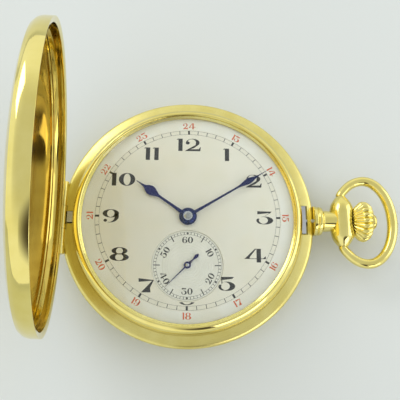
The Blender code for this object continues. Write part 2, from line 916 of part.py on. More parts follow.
def make_winding_work():
    low, high = WINDING_Z
    ratchet_profile = [
        (0.76, high),
        (7.05, high),
        (7.05, low),
        (0.76, low),
    ]
    ratchet = turned("ratchet_wheel", ratchet_profile, 30)
    place_wheel(ratchet, BARREL)
    crown_profile = [
        (0.0, high),
        (2.25, high),
        (2.25, 4.22),
        (2.9, 4.22),
        (2.98, low),
        (0.0, low),
    ]
    crown_wheel = turned("crown_wheel", crown_profile, 24, closed=False)
    place_wheel(crown_wheel, CROWN_WHEEL)
    click = flat_plate("click", [hull([(10.2, 15.2, 0.75), (9.0, 12.75, 0.22)], 12)], *WINDING_Z)
    pinion_shape = [gear_outline(12, 1.48, 0.35), circle(0.66, count=12)]
    pinion = flat_plate("winding_pinion", pinion_shape, -0.9, 0.9)
    lie_along(pinion, "X")
    pinion.location = as_mm([(15.3, 0.0, STEM_Z)])[0]
    castle_shape = [gear_outline(12, 1.2, 0.3), square_hole(0.42)]
    castle = flat_plate("castle_wheel", castle_shape, -0.95, 0.95)
    lie_along(castle, "X")
    castle.location = as_mm([(13.1, 0.0, STEM_Z)])[0]
    return ratchet, crown_wheel, click, pinion, castle


def square_hole(half):
    return [(half, half), (-half, half), (-half, -half), (half, -half)]


def make_motion_work():
    cannon_profile = [
        (0.54, DIAL_Z + 1.1),
        (0.92, DIAL_Z + 1.1),
        (0.92, 6.86),
        (1.12, 6.84),
        (1.12, 6.5),
        (0.54, 6.5),
    ]
    cannon = turned("cannon_pinion", cannon_profile, 18)
    hour_profile = [
        (1.02, DIAL_Z + 0.62),
        (1.32, DIAL_Z + 0.62),
        (1.32, 7.18),
        (3.5, 7.18),
        (3.5, 6.95),
        (1.02, 6.95),
    ]
    hour = turned("hour_wheel", hour_profile, 24)
    minute = plain_wheel(
        "minute_wheel", MINUTE_WHEEL, 3.28, (6.56, 6.78), (0.3, 6.45, 7.3), (10, 0.85, 6.86, 7.24)
    )
    setting_shape = [gear_outline(16, 1.38, 0.28), circle(0.4, count=12)]
    setting = flat_plate("setting_wheel", setting_shape, 6.56, 6.82)
    place_wheel(setting, SETTING_WHEEL)
    yoke_outline = hull([(16.4, 4.9, 0.8), (13.2, 2.3, 0.42)], 12)
    yoke = flat_plate("yoke", [yoke_outline], 6.5, 6.8)
    lever_outline = hull([(18.0, 4.2, 0.9), (18.6, 1.2, 0.35)], 12)
    lever = flat_plate("setting_lever", [lever_outline], 6.9, 7.2)
    return cannon, hour, minute, setting, yoke, lever


def make_escapement():
    along = Vector(BALANCE) - Vector(PALLET)
    angle = math.atan2(along.y, along.x)
    upper = [(3.05, 0.34), (2.55, 0.16), (0.5, 0.2), (0.3, 1.5), (-0.2, 1.55), (-0.35, 0.3)]
    outline = upper + [(x, -y) for x, y in reversed(upper)]
    fork = flat_plate("pallet_fork", [outline], 4.5, 4.66)
    unite(fork, rod("pallet_staff", 0.2, 4.3, 6.2, "Z", CENTRE, CUTTERS, 10))
    fork.rotation_euler.z = angle
    place_wheel(fork, PALLET)
    rim = [circle(5.65, count=30)]
    for turn in (0.0, math.pi):
        rim.append(sector(0.9, 4.95, math.radians(4) + turn, math.radians(176) + turn))
    balance = flat_plate("balance_wheel", rim, 3.72, 4.22)
    cut(balance, rod("balance_bore", 0.36, 3.0, 5.0, "Z", CENTRE, CUTTERS, 12))
    place_wheel(balance, BALANCE)
    staff_profile = [
        (0.0, 6.2),
        (0.2, 6.2),
        (0.2, 5.1),
        (0.32, 5.0),
        (0.32, 4.9),
        (0.85, 4.9),
        (0.85, 4.76),
        (0.32, 4.76),
        (0.32, 3.3),
        (0.2, 3.2),
        (0.2, 2.5),
        (0.0, 2.5),
    ]
    staff = turned("balance_staff", staff_profile, 10, closed=False)
    staff.location = as_mm([(*BALANCE, 0.0)])[0]
    hairspring = flat_plate("hairspring", [spiral_outline(0.75, 3.6, 3, 0.12, 12)], 3.35, 3.55)
    hairspring.location += Vector(as_mm([(*BALANCE, 0.0)])[0])
    regulator = flat_plate(
        "regulator",
        [hull([(0.0, 0.0, 1.3), (3.4, 1.2, 0.2)], 16), circle(0.5, count=12)],
        BRIDGE_Z[0] - 0.3,
        BRIDGE_Z[0] - 0.05,
    )
    place_wheel(regulator, BALANCE)
    return fork, balance, staff, hairspring, regulator


def make_screw(name, place):
    """Slotted screw driven upwards into a bridge's foot."""
    head_z = BRIDGE_Z[0] + 0.02
    under_head = head_z + 0.3
    end_z = head_z + 1.9
    profile = [
        (0.0, end_z),
        (0.48, end_z),
        (0.48, under_head),
        (0.95, under_head),
        (0.95, head_z),
        (0.0, head_z),
    ]
    screw = turned(name, profile, 10, closed=False)
    slot = box(name + "_slot", (-2.0, -0.11, head_z - 1), (2.0, 0.11, head_z + 0.14), CUTTERS)
    cut(screw, slot)
    place_wheel(screw, place)
    return screw


def make_screws():
    places = {
        "barrel_bridge": BARREL_FEET,
        "train_bridge": TRAIN_FEET,
        "balance_cock": [COCK_FOOT],
    }
    screws = []
    for label, feet in places.items():
        for index, foot in enumerate(feet):
            screws.append(make_screw(f"{label}_screw_{index + 1}", foot))
    return screws


def paint(material, *objects):
    for obj in objects:
        obj.data.materials.clear()
        obj.data.materials.append(material)


def shade_round(obj, angle=math.radians(32)):
    obj.data.shade_smooth()
    if len(obj.data.polygons):
        obj.data.set_sharp_from_angle(angle=angle)


def hang(cover, label, axis, angle=0.0):
    """Hang a cover, modelled shut, on its hinge's axis and turn it open."""
    pivot = axis_empty(label + "_hinge_axis", (axis[0], 0.0, axis[1]))
    shut = Matrix.Translation(pivot.location)
    own = [m.object for m in cover.modifiers if m.type == "BOOLEAN"]
    for piece in [cover] + [cutter for cutter in own if "bore" not in cutter.name]:
        piece.parent = pivot
        piece.matrix_parent_inverse = shut.inverted()
    pivot.rotation_euler.y = -angle


def build():
    fresh_scene()
    look = make_materials()
    band = make_case_band()
    front = make_front_cover()
    back = make_back_cover()
    cuvette = make_cuvette()
    bezel = make_bezel()
    pins = [
        hinge(band, front, "front", LID_HINGE, LID_HINGE_R, LID_HINGE_HALF, LID_KNUCKLE_HALF),
        hinge(band, back, "back", BACK_HINGE, BACK_HINGE_R, BACK_HINGE_HALF, BACK_KNUCKLE_HALF),
        hinge(
            band, cuvette, "cuvette", CUVETTE_HINGE, CUVETTE_HINGE_R,
            CUVETTE_HINGE_HALF, CUVETTE_KNUCKLE_HALF,
        ),
    ]
    hang(front, "front", LID_HINGE, LID_OPEN)
    hang(back, "back", BACK_HINGE)
    hang(cuvette, "cuvette", CUVETTE_HINGE)
    pendant = make_pendant()
    crown = make_crown()
    stem = make_winding_stem()
    bow = make_bow()
    paint(look["gold"], front, back, cuvette, bezel, pendant, crown, bow)
    paint(look["satin_gold"], band)
    paint(look["steel"], make_lift_spring(), make_lock_spring())
    paint(look["steel"], stem, make_pendant_sleeve(), *pins)
    paint(look["crystal"], make_crystal())
    paint(look["dial"], make_dial(), make_seconds_dial())
    paint(look["blued"], make_hour_hand(), make_minute_hand(), make_seconds_hand())
    paint(look["nickel"], make_mainplate(), make_barrel_bridge())
    paint(look["nickel"], make_train_bridge(), make_balance_cock())
    paint(look["brass"], *make_train(), make_barrel(), make_barrel_cover())
    paint(look["steel"], make_mainspring(), make_barrel_arbor(), *make_winding_work())
    paint(look["steel"], *make_motion_work(), *make_escapement(), *make_screws())
    for obj in bpy.data.collections[PARTS].objects:
        if obj.type == "MESH":
            shade_round(obj)


build()
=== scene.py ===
"""Hunter pocket watch: the visible pieces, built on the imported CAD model's frame.

Lengths are in millimetres until they go into a mesh. Hinge lines, arbors and
levels come from the record's joints and from the CAD nodes' own boxes.
"""
import json
import math

import bmesh
import bpy
from mathutils import Matrix, Quaternion, Vector
from mathutils.geometry import tessellate_polygon


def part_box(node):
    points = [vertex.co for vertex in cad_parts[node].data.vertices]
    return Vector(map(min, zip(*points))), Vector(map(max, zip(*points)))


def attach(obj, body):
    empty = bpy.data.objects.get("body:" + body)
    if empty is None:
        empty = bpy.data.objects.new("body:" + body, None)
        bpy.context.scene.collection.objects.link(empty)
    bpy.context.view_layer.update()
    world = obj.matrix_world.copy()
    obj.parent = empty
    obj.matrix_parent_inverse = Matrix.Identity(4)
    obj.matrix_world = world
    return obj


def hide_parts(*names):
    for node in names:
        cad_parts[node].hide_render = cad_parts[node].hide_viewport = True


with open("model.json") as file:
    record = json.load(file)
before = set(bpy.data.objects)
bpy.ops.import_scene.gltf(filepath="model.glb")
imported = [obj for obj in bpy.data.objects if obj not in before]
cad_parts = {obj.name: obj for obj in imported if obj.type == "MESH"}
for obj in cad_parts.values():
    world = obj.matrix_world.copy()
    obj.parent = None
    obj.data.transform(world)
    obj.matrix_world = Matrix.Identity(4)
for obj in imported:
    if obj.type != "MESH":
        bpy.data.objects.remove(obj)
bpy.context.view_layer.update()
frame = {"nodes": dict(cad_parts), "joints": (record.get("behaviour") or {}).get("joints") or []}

MM = 0.001
NODES = frame["nodes"]
JOINTS = {joint["name"]: joint for joint in frame["joints"]}
FINE = 224               # steps around a case part
SMOOTH = math.radians(28)


def joint_at(name):
    return Vector(JOINTS[name]["pos_m"]) / MM


def level(node, side):
    """Lowest (0) or highest (1) height of a CAD node, in mm."""
    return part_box(node)[side].z / MM


def middle(node):
    low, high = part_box(node)
    return (low + high) / 2 / MM


DIAL_Z = level("dial", 1)
STEM_Z = middle("crown").z
SECONDS = joint_at("seconds_hand_turn")
LID_AXIS = joint_at("front_cover_hinge")
BACK_AXIS = joint_at("back_cover_hinge")
LID_OPEN = math.radians(JOINTS["front_cover_hinge"]["range_deg"][1])
HOUR_TURN = math.radians(55.0)
MINUTE_TURN = math.radians(-58.6)
SECOND_TURN = math.radians(-225.0)

SHOULDER_R = 23.08       # inner edge of the shoulder the front cover shuts on
SHOULDER_Z = 6.74
SHOULDER_SLOPE = 0.25
LID_RADIUS = 25.2        # outside of the front cover
LID_TOP = DIAL_Z + 3.75  # top of the front cover when it is shut
LID_KNUCKLE = 0.7
BACK_KNUCKLE = 0.6
BOW_PIN_X = 31.2
BULB_X = 31.35           # middle of the pendant's bulb
TRACK = (17.6, 18.4)     # rails of the minute track
HOUR_CIRCLE = 15.3
RED_CIRCLE = 19.45
SECONDS_WELL = 7.05      # radius of the opening for the small seconds dial
SECONDS_SINK = 0.16      # depth of the small dial below the large one
SECONDS_TRACK = (6.12, 6.62)
PRINT_RISE = 0.014
LAMP_AIM = (0, 0, 10)


# ---- mesh tools ----

def link(name, mesh):
    obj = bpy.data.objects.new(name, mesh)
    bpy.context.scene.collection.objects.link(obj)
    return obj


def close_mesh(name, vertices, faces, smooth=SMOOTH):
    """An object from points in mm, welded, facing outwards and shaded."""
    mesh = bpy.data.meshes.new(name)
    mesh.from_pydata([Vector(v) * MM for v in vertices], [], faces)
    builder = bmesh.new()
    builder.from_mesh(mesh)
    bmesh.ops.remove_doubles(builder, verts=builder.verts, dist=1e-7)
    bmesh.ops.recalc_face_normals(builder, faces=builder.faces)
    builder.to_mesh(mesh)
    builder.free()
    obj = link(name, mesh)
    shade(obj, smooth)
    return obj


def shade(obj, angle=SMOOTH):
    obj.data.shade_smooth()
    obj.data.set_sharp_from_angle(angle=angle)


def rounded(points, radius=0.08, closed=True, count=4):
    """Round a profile's corners; a point may carry its own radius."""
    plain = [Vector(p[:2]) for p in points]
    total = len(plain)
    result = []
    for i, corner in enumerate(plain):
        size = points[i][2] if len(points[i]) > 2 else radius
        if size <= 0 or (not closed and i in (0, total - 1)):
            result.append(tuple(corner))
            continue
        before = plain[i - 1] - corner
        after = plain[(i + 1) % total] - corner
        reach = min(size, before.length * 0.45, after.length * 0.45)
        start = corner + before.normalized() * reach
        end = corner + after.normalized() * reach
        for k in range(count + 1):
            t = k / count
            spot = start * (1 - t) ** 2 + corner * 2 * t * (1 - t) + end * t * t
            result.append(tuple(spot))
    return result


def flowing(points, per=6):
    """A smooth line through control points."""
    line = [Vector(p) for p in points]
    line = [line[0] * 2 - line[1]] + line + [line[-1] * 2 - line[-2]]
    result = []
    for i in range(1, len(line) - 2):
        a, b, c, d = line[i - 1:i + 3]
        for k in range(per):
            t = k / per
            spot = 0.5 * ((b * 2) + (c - a) * t + (a * 2 - b * 5 + c * 4 - d) * t * t
                          + (b * 3 - a - c * 3 + d) * t ** 3)
            result.append(tuple(spot))
    result.append(tuple(line[-2]))
    return result


def lathe(name, profile, steps=FINE, closed=True, ribs=None, smooth=SMOOTH):
    """Turn a profile of (radius, height) about Z; ribs scales each radius."""
    vertices, rings = [], []
    for index, (radius, z) in enumerate(profile):
        if radius < 1e-6:
            rings.append([len(vertices)] * steps)
            vertices.append((0.0, 0.0, z))
            continue
        ring = []
        for i in range(steps):
            angle = math.tau * i / steps
            size = radius * (ribs(angle, index) if ribs else 1.0)
            ring.append(len(vertices))
            vertices.append((size * math.cos(angle), size * math.sin(angle), z))
        rings.append(ring)
    faces = []
    last = len(rings) if closed else len(rings) - 1
    for i in range(last):
        a, b = rings[i], rings[(i + 1) % len(rings)]
        for k in range(steps):
            n = (k + 1) % steps
            corners = []
            for v in (a[k], a[n], b[n], b[k]):
                if v not in corners:
                    corners.append(v)
            if len(corners) > 2:
                faces.append(corners)
    return close_mesh(name, vertices, faces, smooth)


def place(obj, location=(0, 0, 0), along="Z", turn=0.0):
    """Lay a piece made on Z along an axis and move it to a spot in mm."""
    lay = {
        "Z": Matrix.Identity(4),
        "X": Matrix.Rotation(math.pi / 2, 4, "Y"),
        "Y": Matrix.Rotation(-math.pi / 2, 4, "X"),
    }[along]
    move = Matrix.Translation(Vector(location) * MM)
    obj.data.transform(move @ lay @ Matrix.Rotation(turn, 4, "Z"))
    return obj


def carve(obj, *tools, how="DIFFERENCE"):
    """Booleans applied at once, one tool after another."""
    for tool in tools:
        modifier = obj.modifiers.new("carve", "BOOLEAN")
        modifier.operation = how
        modifier.solver = "EXACT"
        modifier.object = tool
        graph = bpy.context.evaluated_depsgraph_get()
        graph.update()
        mesh = bpy.data.meshes.new_from_object(obj.evaluated_get(graph))
        obj.modifiers.clear()
        obj.data = mesh
        bpy.data.objects.remove(tool, do_unlink=True)
    shade(obj)


def rod(name, radius, start, end, along, spot, ease=0.0, steps=48):
    """A round bar with eased edges between two stations along an axis."""
    profile = rounded([(0, end, 0), (radius, end), (radius, start), (0, start, 0)], ease, False)
    bar = lathe(name, profile, steps, closed=False)
    centre = {"X": (0, spot[0], spot[1]), "Y": (spot[0], 0, spot[1]), "Z": (spot[0], spot[1], 0)}
    return place(bar, centre[along], along)


def block(name, low, high):
    corners = [
        (x, y, z)
        for z in (low[2], high[2])
        for y in (low[1], high[1])
        for x in (low[0], high[0])
    ]
    faces = [(0, 1, 3, 2), (4, 5, 7, 6), (0, 1, 5, 4), (2, 3, 7, 6), (0, 2, 6, 4), (1, 3, 7, 5)]
    return close_mesh(name, corners, faces)


def join(name, *objects):
    """Make one object of several; their meshes stay where they are."""
    builder = bmesh.new()
    for obj in objects:
        builder.from_mesh(obj.data)
        bpy.data.objects.remove(obj, do_unlink=True)
    mesh = bpy.data.meshes.new(name)
    builder.to_mesh(mesh)
    builder.free()
    result = link(name, mesh)
    shade(result)
    return result


def bevelled(name, outlines, low, high, bevel):
    """A flat piece with rounded edges from outlines in mm."""
    curve = bpy.data.curves.new(name, "CURVE")
    curve.dimensions = "2D"
    curve.fill_mode = "BOTH"
    curve.extrude = ((high - low) / 2 - bevel) * MM
    curve.bevel_depth = bevel * MM
    curve.bevel_resolution = 2
    curve.offset = -bevel * MM
    for outline in outlines:
        spline = curve.splines.new("POLY")
        spline.points.add(len(outline) - 1)
        for point, (x, y) in zip(spline.points, outline):
            point.co = (x * MM, y * MM, 0.0, 1.0)
        spline.use_cyclic_u = True
    drawn = link(name + "_curve", curve)
    graph = bpy.context.evaluated_depsgraph_get()
    graph.update()
    mesh = bpy.data.meshes.new_from_object(drawn.evaluated_get(graph))
    bpy.data.objects.remove(drawn, do_unlink=True)
    mesh.name = name
    mesh.transform(Matrix.Translation((0, 0, (low + high) / 2 * MM)))
    obj = link(name, mesh)
    shade(obj)
    return obj


# ---- printed figures ----

def ellipse(cx, cy, rx, ry, start=0.0, end=360.0, count=40):
    points = []
    for i in range(count + 1):
        angle = math.radians(start + (end - start) * i / count)
        points.append((cx + rx * math.cos(angle), cy + ry * math.sin(angle)))
    return points


def ring(cx, cy, rx, ry, hole_x, hole_y):
    """An ellipse with an elliptical hole, as the outlines of a figure."""
    return [ellipse(cx, cy, rx, ry)[:-1], ellipse(cx, cy, hole_x, hole_y)[:-1]]


def swash(outer, inner, start, end):
    """A crescent stroke between two ellipses of (cx, cy, rx, ry)."""
    return [ellipse(*outer, start, end) + ellipse(*inner, end, start)]


def turned_over(shapes, width):
    return [[[(width - x, 1.0 - y) for x, y in outline] for outline in shape] for shape in shapes]


SIX = [
    ring(0.6, 0.31, 0.6, 0.31, 0.27, 0.275),
    swash((0.66, 0.52, 0.66, 0.48), (0.72, 0.52, 0.42, 0.45), 78, 205),
    [ellipse(0.98, 0.84, 0.13, 0.11)[:-1]],
]
# each figure: (width, shapes) where the figure is one unit high
FIGURES = {
    "0": (1.22, [ring(0.61, 0.5, 0.61, 0.5, 0.26, 0.455)]),
    "1": (0.46, [
        [[(0.14, 0), (0.46, 0), (0.46, 1), (0.14, 1)]],
        [[(0, 0.9), (0.14, 0.94), (0.14, 1), (0.08, 1)]],
    ]),
    "2": (1.22, [
        swash((0.58, 0.68, 0.52, 0.32), (0.5, 0.69, 0.33, 0.275), 168, -28),
        [[(1.04, 0.53), (0.86, 0.66), (0.8, 0.5), (0.08, 0.07), (0.02, 0.0), (0.3, 0.1), (0.7, 0.26)]],
        [[(0.0, 0.0), (1.16, 0.0), (1.2, 0.32), (1.14, 0.32), (1.06, 0.17), (0.18, 0.13)]],
        [ellipse(0.2, 0.66, 0.15, 0.12)[:-1]],
    ]),
    "3": (1.24, [
        [[(0.08, 1.0), (0.08, 0.77), (1.0, 0.87), (1.12, 0.98)]],
        [[(1.14, 0.98), (1.03, 0.86), (0.42, 0.53), (0.56, 0.6)]],
        swash((0.62, 0.3, 0.62, 0.3), (0.5, 0.31, 0.35, 0.265), 112, -118),
        swash((0.5, 0.29, 0.5, 0.29), (0.55, 0.31, 0.36, 0.26), 150, 250),
    ]),
    "4": (1.56, [
        [[(0.88, 0), (1.2, 0), (1.2, 1), (0.88, 1)]],
        [[(0.88, 1.0), (0.76, 1.0), (0.0, 0.25), (0.34, 0.25), (0.4, 0.4), (0.83, 0.96), (0.88, 0.96)]],
        [[(0.0, 0.25), (1.56, 0.25), (1.56, 0.29), (0.0, 0.29)]],
        [[(1.32, 0.25), (1.56, 0.25), (1.54, 0.46)]],
    ]),
    "5": (1.2, [
        [[(0.2, 1.0), (0.2, 0.76), (1.0, 0.87), (1.12, 1.0)]],
        [[(0.22, 0.95), (0.28, 0.95), (0.28, 0.52), (0.22, 0.5)]],
        swash((0.6, 0.33, 0.6, 0.33), (0.46, 0.34, 0.36, 0.29), 128, -120),
        swash((0.5, 0.29, 0.5, 0.29), (0.56, 0.31, 0.36, 0.26), 150, 250),
    ]),
    "6": (1.2, SIX),
    "7": (1.12, [
        [[(0.02, 1.0), (0.04, 0.74), (1.08, 0.84), (1.12, 0.88)]],
        [[(1.12, 0.88), (1.0, 0.84), (0.62, 0.42), (0.22, 0.0), (0.9, 0.0), (0.86, 0.34)]],
    ]),
    "8": (1.38, [
        ring(0.69, 0.735, 0.57, 0.265, 0.25, 0.225),
        ring(0.69, 0.27, 0.69, 0.275, 0.29, 0.235),
    ]),
    "9": (1.2, turned_over(SIX, 1.2)),
}


def around(centre, radius, angle):
    """A spot at a clockwise angle from twelve."""
    return (centre[0] + radius * math.sin(angle), centre[1] + radius * math.cos(angle))


def shift(x, y):
    return Matrix(((1, 0, x), (0, 1, y), (0, 0, 1)))


class Print:
    """Thin raised print gathered into one piece."""

    def __init__(self, top, bottom):
        self.top = top
        self.bottom = bottom
        self.vertices = []
        self.faces = []

    def add(self, outlines, move):
        """Fill outlines, whose inner ones are holes, and raise their edges."""
        moved = []
        for outline in outlines:
            flat = [move @ Vector((x, y, 1.0)) for x, y in outline]
            moved.append([Vector((p.x, p.y, 0.0)) for p in flat])
        start = len(self.vertices)
        points = [p for outline in moved for p in outline]
        count = len(points)
        self.vertices += [(p.x, p.y, self.top) for p in points]
        self.vertices += [(p.x, p.y, self.bottom) for p in points]
        for triangle in tessellate_polygon(moved):
            self.faces.append([start + i for i in triangle])
        edge = start
        for outline in moved:
            size = len(outline)
            for i in range(size):
                n = (i + 1) % size
                self.faces.append([edge + i, edge + n, edge + n + count, edge + i + count])
            edge += size

    def number(self, text, spot, height, squeeze=1.0, turn=0.0, gap=0.12):
        """A number centred on a spot, its top turned by an angle."""
        width = sum(FIGURES[c][0] for c in text) + gap * (len(text) - 1)
        x = -width / 2
        rotation = Matrix.Rotation(turn, 3, "Z")
        size = Matrix(((height * squeeze, 0, 0), (0, height, 0), (0, 0, 1)))
        move = shift(spot[0], spot[1])
        for c in text:
            for shape in FIGURES[c][1]:
                self.add(shape, move @ rotation @ size @ shift(x, -0.5))
            x += FIGURES[c][0] + gap

    def bar(self, centre, angle, inner, outer, half):
        """A radial bar at a clockwise angle from twelve."""
        turn = Matrix.Rotation(-angle, 3, "Z")
        corners = [(-half, inner), (half, inner), (half, outer), (-half, outer)]
        self.add([corners], shift(centre[0], centre[1]) @ turn)

    def hoop(self, centre, radius, half, count):
        move = shift(centre[0], centre[1])
        for i in range(count):
            a, b = 360.0 * i / count, 360.0 * (i + 1) / count
            outer = ellipse(0, 0, radius + half, radius + half, a, b, 1)
            inner = ellipse(0, 0, radius - half, radius - half, b, a, 1)
            self.add([outer + inner], move)

    def finish(self, name):
        return close_mesh(name, self.vertices, self.faces, 0.5)


# ---- materials ----

class Look:
    """A procedural material: base colour varied by noise, marks and bump."""

    def __init__(self, name, metallic=1.0):
        self.material = bpy.data.materials.new(name)
        self.material.use_nodes = True
        self.tree = self.material.node_tree
        self.shader = self.tree.nodes["Principled BSDF"]
        self.shader.inputs["Metallic"].default_value = metallic
        self.bump = None
        coordinate = self.tree.nodes.new("ShaderNodeTexCoord")
        scale = self.tree.nodes.new("ShaderNodeMapping")
        scale.inputs["Scale"].default_value = (1000.0, 1000.0, 1000.0)
        self.tree.links.new(coordinate.outputs["Object"], scale.inputs["Vector"])
        self.where = scale.outputs["Vector"]

    def node(self, kind, values=(), **links):
        node = self.tree.nodes.new("ShaderNode" + kind)
        for key, value in dict(values).items():
            node.inputs[key].default_value = value
        for key, source in links.items():
            self.tree.links.new(source, node.inputs[key])
        return node

    def stretched(self, scale):
        node = self.node("Mapping", {"Scale": scale}, Vector=self.where)
        return node.outputs["Vector"]

    def noise(self, size, where=None, detail=4.0, rough=0.55):
        """Noise whose blobs are about size mm across."""
        values = {"Scale": 1.0 / size, "Detail": detail, "Roughness": rough}
        return self.node("TexNoise", values, Vector=where or self.where).outputs["Fac"]

    def distance(self, centre=(0.0, 0.0)):
        """Distance in mm from an upright axis."""
        away = self.node("VectorMath", {1: (centre[0], centre[1], 0.0)})
        away.operation = "SUBTRACT"
        self.tree.links.new(self.where, away.inputs[0])
        flat = self.node("VectorMath", {1: (1.0, 1.0, 0.0)})
        flat.operation = "MULTIPLY"
        self.tree.links.new(away.outputs[0], flat.inputs[0])
        size = self.node("VectorMath")
        size.operation = "LENGTH"
        self.tree.links.new(flat.outputs[0], size.inputs[0])
        return size.outputs["Value"]

    def rings(self, spacing, centre):
        """Noise that only varies with the distance from an axis."""
        joined = self.node("CombineXYZ", {}, X=self.distance(centre))
        return self.noise(spacing, joined.outputs["Vector"], 3.0, 0.6)

    def remap(self, source, low, high, start=0.3, end=0.7):
        values = {"From Min": start, "From Max": end, "To Min": low, "To Max": high}
        return self.node("MapRange", values, Value=source).outputs["Result"]

    def mix(self, factor, first, second):
        node = self.tree.nodes.new("ShaderNodeMix")
        node.data_type = "RGBA"
        self.tree.links.new(factor, node.inputs["Factor"])
        for socket, value in ((node.inputs["A"], first), (node.inputs["B"], second)):
            if isinstance(value, tuple):
                socket.default_value = (*value, 1.0)
            else:
                self.tree.links.new(value, socket)
        return node.outputs["Result"]

    def colour(self, source):
        self.tree.links.new(source, self.shader.inputs["Base Color"])

    def roughness(self, source):
        self.tree.links.new(source, self.shader.inputs["Roughness"])

    def raise_by(self, source, height, strength=1.0):
        """Bump by a height in mm."""
        node = self.node("Bump", {"Strength": strength, "Distance": height * MM}, Height=source)
        if self.bump:
            self.tree.links.new(self.bump, node.inputs["Normal"])
        self.bump = node.outputs["Normal"]
        self.tree.links.new(self.bump, self.shader.inputs["Normal"])


def polished(name, light, deep, rough, grain=0.0006):
    """Polished metal with soft waves, hairlines and handling marks."""
    look = Look(name)
    broad = look.noise(6.0)
    marks = look.noise(0.12, look.stretched((1.0, 0.05, 0.35)), 3.0, 0.7)
    specks = look.noise(0.35, detail=6.0, rough=0.75)
    tone = look.remap(broad, 0.0, 1.0, 0.35, 0.65)
    base = look.mix(tone, light, deep)
    worn = tuple(min(1.0, value * 0.86) for value in deep)
    look.colour(look.mix(look.remap(specks, 0.0, 0.35, 0.62, 0.8), base, worn))
    look.roughness(look.remap(marks, rough * 0.75, rough * 1.5, 0.35, 0.7))
    look.raise_by(marks, grain)
    look.raise_by(broad, grain * 10.0, 0.6)
    return look.material


def satin(name, light, deep, rough, spacing=0.05, height=0.002, centre=(0.0, 0.0), metal=1.0):
    """Circular satin brushing with scattered scratches."""
    look = Look(name, metal)
    brush = look.rings(spacing, centre)
    scratches = look.noise(0.22, look.stretched((1.0, 0.12, 1.0)), 5.0, 0.75)
    broad = look.noise(4.0)
    base = look.mix(look.remap(broad, 0.0, 1.0), light, deep)
    worn = tuple(value * 0.72 for value in deep)
    look.colour(look.mix(look.remap(scratches, 0.0, 0.6, 0.6, 0.78), base, worn))
    look.roughness(look.remap(brush, rough * 0.8, rough * 1.25))
    look.raise_by(brush, height)
    look.raise_by(scratches, height * 0.6)
    return look.material


def striped(name, light, deep, rough, width):
    """Bridges finished in straight soft stripes."""
    look = Look(name)
    values = {"Scale": 0.5 / width / 3.14, "Distortion": 0.15}
    wave = look.node("TexWave", values, Vector=look.stretched((1.0, 0.5, 0.0)))
    fine = look.noise(0.06, look.stretched((1.0, 0.1, 1.0)), 3.0, 0.6)
    look.colour(look.mix(wave.outputs["Fac"], light, deep))
    look.roughness(look.remap(fine, rough * 0.8, rough * 1.3))
    look.raise_by(wave.outputs["Fac"], 0.02, 0.7)
    look.raise_by(fine, 0.002)
    return look.material


def enamel(name, inner, outer, edge_at, rough=0.42):
    """Opaline dial: fine grain, faint ageing and a paler outer ring."""
    look = Look(name, 0.0)
    grain = look.noise(0.05, detail=6.0, rough=0.7)
    ageing = look.noise(7.0, detail=3.0)
    spots = look.noise(0.6, detail=5.0, rough=0.8)
    zone = look.remap(look.distance(), 0.0, 1.0, edge_at - 0.15, edge_at + 0.15)
    base = look.mix(zone, inner, outer)
    aged = tuple(value * factor for value, factor in zip(inner, (0.97, 0.95, 0.88)))
    tone = look.mix(look.remap(ageing, 0.0, 0.7, 0.4, 0.75), base, aged)
    dark = tuple(value * 0.8 for value in inner)
    look.colour(look.mix(look.remap(spots, 0.0, 0.25, 0.7, 0.85), tone, dark))
    look.roughness(look.remap(grain, rough * 0.85, rough * 1.15))
    look.raise_by(grain, 0.003, 0.8)
    look.shader.inputs["Specular IOR Level"].default_value = 0.4
    return look.material


def ink(name, body, faded, rough=0.45):
    look = Look(name, 0.0)
    edge = look.noise(0.25, detail=6.0, rough=0.75)
    look.colour(look.mix(look.remap(edge, 0.0, 1.0, 0.45, 0.75), body, faded))
    look.roughness(look.remap(edge, rough * 0.8, rough * 1.2))
    look.raise_by(edge, 0.003)
    return look.material


def glass(name):
    """Thin watch glass: clear, with a reflection that grows at the edges."""
    look = Look(name, 0.0)
    tree = look.tree
    film = look.noise(3.0, detail=3.0)
    clear = look.node("BsdfTransparent")
    tint = look.mix(look.remap(film, 0.0, 1.0), (0.995, 1.0, 0.998), (0.98, 0.99, 0.985))
    tree.links.new(tint, clear.inputs["Color"])
    shine = look.node("BsdfGlossy", {"Color": (0.95, 0.98, 0.97, 1.0)})
    tree.links.new(look.remap(film, 0.01, 0.05), shine.inputs["Roughness"])
    edge = look.node("LayerWeight", {"Blend": 0.5})
    steep = look.node("Math", {1: 4.0})
    steep.operation = "POWER"
    tree.links.new(edge.outputs["Facing"], steep.inputs[0])
    blend = look.node("MixShader")
    tree.links.new(look.remap(steep.outputs[0], 0.025, 0.85, 0.0, 1.0), blend.inputs["Fac"])
    tree.links.new(clear.outputs["BSDF"], blend.inputs[1])
    tree.links.new(shine.outputs["BSDF"], blend.inputs[2])
    output = tree.nodes["Material Output"]
    tree.links.new(blend.outputs["Shader"], output.inputs["Surface"])
    tree.nodes.remove(look.shader)
    return look.material


